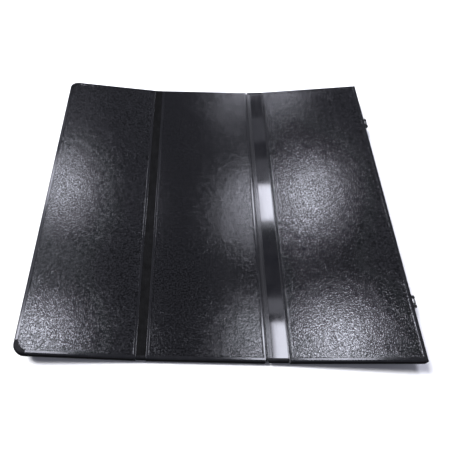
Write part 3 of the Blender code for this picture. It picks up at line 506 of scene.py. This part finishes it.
NARROW = Matrix.Translation(NARROW_AXIS)
STRIP_END = HALF_WIDTH - END_CAP - GAP
strip = swept(
    "narrow_hinge_ribbed_strip",
    strip_outline(STRIP_FROM, STRIP_TO, STRIP_TOP, STRIP_LOW, 0.0003),
    -STRIP_END, STRIP_END, NARROW, LOOKS["strip"], 60, 30,
)
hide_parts("narrow_hinge_strip")
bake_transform(strip)
for side, sign in SIDES:
    cap = end_plug(f"narrow_hinge_end_plug_{side}", sign)
    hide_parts(f"narrow_hinge_end_cap_{side}")
    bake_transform(cap)


# ---- Threads ------------------------------------------------------------------------------------
def thread(name, matrix, crest, root, bore, low, high, pitch, around=28):
    """A helical thread as a closed sleeve round a plain shank, along its own z."""
    work = bmesh.new()
    angles = [2 * math.pi * k / around for k in range(around)]
    along = max(4, round((high - low) / pitch * 6))
    rings = []
    for n in range(along + 1):
        z = low + (high - low) * n / along
        ease = min(1.0, 2.0 * min(z - low, high - z) / pitch)
        ring = []
        for k, angle in enumerate(angles):
            phase = (z / pitch - k / around) % 1.0
            r = root + (crest - root) * (1 - abs(2 * phase - 1)) * ease
            ring.append(work.verts.new((r * math.cos(angle), r * math.sin(angle), z)))
        rings.append(ring)
    inner = []
    for z in (low, high):
        points = [(bore * math.cos(angle), bore * math.sin(angle), z) for angle in angles]
        inner.append([work.verts.new(point) for point in points])
    chain = [inner[0], *rings, inner[1], inner[0]]
    for a, b in zip(chain, chain[1:]):
        for k in range(around):
            j = (k + 1) % around
            work.faces.new((a[k], a[j], b[j], b[k]))
    return from_bmesh(name, work, matrix, LOOKS["zinc"], 35)


# Each thread's crest, root and bore radii, its ends along its own z, and its pitch.
BOLT_THREAD = (0.00425, 0.00395, 0.0037, -0.0550, -0.0160, 0.00125)
SCREW_THREAD = (0.00325, 0.00296, 0.0027, -0.0755, -0.0430, 0.0015)
for side, sign in SIDES:
    pin = Matrix.Translation(Vector(PLACES[f"front_bolt_swing_{side}"]["pos_m"]))
    piece = thread(f"front_bolt_thread_{side}", pin, *BOLT_THREAD)
    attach(piece, f"front_swing_bolt_{side}")
    # The arm is stowed flat, so its screw lies along y, and down the arm is outwards.
    screw = Matrix.Translation(Vector(PLACES[f"rear_knob_turn_{side}"]["pos_m"]))
    screw = screw @ Matrix.Rotation(-sign * math.pi / 2, 4, "X")
    piece = thread(f"rear_screw_thread_{side}", screw, *SCREW_THREAD, around=24)
    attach(piece, f"rear_screw_{side}")


# ---- Finishes for the CAD nodes -----------------------------------------------------------------
def finish_of(node):
    if "pin" in node or "swing_bolt" in node or "screw" in node:
        return LOOKS["zinc"]
    if "knob" in node or "nut" in node:
        return LOOKS["knob"]
    if "bracket" in node or "jaw" in node or "arm" in node:
        return LOOKS["cast"]
    if "cap" in node:
        return LOOKS["plastic"]
    if "trim" in node:
        return LOOKS["trim"]
    if node == "wide_hinge_link":
        return LOOKS["link"]
    if "seal" in node or "strip" in node:
        return LOOKS["seal"]
    if "core" in node:
        return LOOKS["foam"]
    if "skin" in node:
        return LOOKS["underside"]
    return LOOKS["rail"]


SHARP = 38  # degrees between two faces that meet in an edge
# A bevel's width and segments for each kind of part, by a word in its name.
ROUNDED = {
    "corner_cap": (0.0010, 3), "end_cap": (0.0008, 2), "bracket": (0.0012, 3), "jaw": (0.0012, 3),
    "arm": (0.0010, 3), "nut": (0.0010, 2), "knob": (0.0012, 2), "rail": (0.0004, 2),
    "trim_strip": (0.0002, 1), "link": (0.0002, 1),
}
for node, obj in NODES.items():
    obj.data.materials.clear()
    obj.data.materials.append(finish_of(node))
    for part, (width, segments) in ROUNDED.items():
        if part in node:
            soft = obj.modifiers.new("soft edges", "BEVEL")
            soft.width = width
            soft.segments = segments
            soft.limit_method = "ANGLE"
            soft.angle_limit = math.radians(SHARP)
            break
    shade(obj, SHARP)


# ---- Studio -------------------------------------------------------------------------------------
FLOOR_HALF = 14.0
FLOOR_LEVEL = -0.0005


def studio():
    """The floor, a world that lights from above, and the plain backdrop that the camera sees."""
    work = bmesh.new()
    corners = [(-FLOOR_HALF, -FLOOR_HALF, 0), (FLOOR_HALF, -FLOOR_HALF, 0)]
    corners += [(FLOOR_HALF, FLOOR_HALF, 0), (-FLOOR_HALF, FLOOR_HALF, 0)]
    work.faces.new([work.verts.new(c) for c in corners])
    floor = from_bmesh("studio_floor", work, Matrix.Translation((0, 0, FLOOR_LEVEL)), studio_floor())
    floor.visible_glossy = False
    floor.visible_diffuse = False

    world = bpy.data.worlds.new("studio")
    world.use_nodes = True
    bpy.context.scene.world = world
    nodes, links = world.node_tree.nodes, world.node_tree.links
    background = nodes["Background"]
    place = nodes.new("ShaderNodeTexCoord")
    parts = nodes.new("ShaderNodeSeparateXYZ")
    ramp = nodes.new("ShaderNodeValToRGB")
    ramp.color_ramp.elements[0].position = 0.0
    ramp.color_ramp.elements[0].color = (0.03, 0.03, 0.032, 1)
    ramp.color_ramp.elements[1].position = 0.55
    ramp.color_ramp.elements[1].color = (0.215, 0.220, 0.265, 1)
    links.new(place.outputs["Generated"], parts.inputs[0])
    links.new(parts.outputs["Z"], ramp.inputs["Fac"])
    seen = nodes.new("ShaderNodeLightPath")
    backdrop = nodes.new("ShaderNodeBackground")
    backdrop.inputs["Color"].default_value = (0.93, 0.93, 0.94, 1)
    mix = nodes.new("ShaderNodeMixShader")
    links.new(ramp.outputs["Color"], background.inputs["Color"])
    links.new(seen.outputs["Is Camera Ray"], mix.inputs["Fac"])
    links.new(background.outputs[0], mix.inputs[1])
    links.new(backdrop.outputs[0], mix.inputs[2])
    links.new(mix.outputs[0], nodes["World Output"].inputs["Surface"])


PANEL_HEIGHT = 2.2
PANEL_COLOUR = (0.87, 0.885, 1.01)
PANELS = (  # x, y, size along x, size along y, radiance
    (-2.60, -0.15, 0.62, 0.36, 14), (-2.60, 1.42, 0.62, 0.48, 12),
    (-1.06, -0.18, 0.58, 0.34, 20), (-1.10, 1.46, 0.58, 0.52, 13.5),
    (-1.10, 0.65, 0.56, 1.10, 1.2), (-1.14, 2.35, 0.56, 0.50, 1.0),
    (0.77, -0.17, 0.48, 0.40, 19.5), (0.48, -0.17, 0.10, 0.40, 19.5),
    (0.645, 1.38, 0.48, 0.47, 20.5), (0.56, 3.36, 0.52, 0.48, 12.5),
    (0.60, 0.19, 0.40, 0.16, 2), (0.68, 1.12, 0.56, 0.14, 2),
    (0.64, 1.83, 0.50, 0.30, 0.9), (0.50, 2.45, 0.52, 0.40, 0.6),
)
KEY_DIRECTION = (-0.70, 0.30, 1)
KEY_STRENGTH = 4.7
KEY_ANGLE = 22


def lights():
    """Rows of ceiling panels, and a soft key that lights the floor and gives the shadow."""
    for number, (x, y, size_x, size_y, radiance) in enumerate(PANELS):
        data = bpy.data.lights.new(f"panel_{number}", "AREA")
        data.shape = "RECTANGLE"
        data.size = size_x
        data.size_y = size_y
        data.energy = radiance * math.pi * size_x * size_y
        data.color = PANEL_COLOUR
        panel = bpy.data.objects.new(f"panel_{number}", data)
        panel.location = (x, y, PANEL_HEIGHT)
        bpy.context.scene.collection.objects.link(panel)
    data = bpy.data.lights.new("key", "SUN")
    data.energy = KEY_STRENGTH
    data.angle = math.radians(KEY_ANGLE)
    key = bpy.data.objects.new("key", data)
    key.rotation_euler = Vector(KEY_DIRECTION).to_track_quat("Z", "Y").to_euler()
    bpy.context.scene.collection.objects.link(key)
    key.visible_glossy = False


LENS = 32.34  # mm, on a 36 mm sensor
SHIFT_X = 0.0892
CAMERA_PLACE = (-0.1617, -1.0685, 1.6706)
CAMERA_TURN = (29.478, -0.740, 1.069)  # degrees about x, y and z


def camera():
    data = bpy.data.cameras.new("camera")
    data.sensor_fit = "HORIZONTAL"
    data.sensor_width = 36.0
    data.lens = LENS
    data.shift_x = SHIFT_X
    data.clip_start = 0.01
    obj = bpy.data.objects.new("camera", data)
    obj.location = CAMERA_PLACE
    obj.rotation_euler = [math.radians(turn) for turn in CAMERA_TURN]
    bpy.context.scene.collection.objects.link(obj)
    bpy.context.scene.camera = obj


studio()
lights()
camera()
bpy.context.scene.view_settings.view_transform = "Standard"
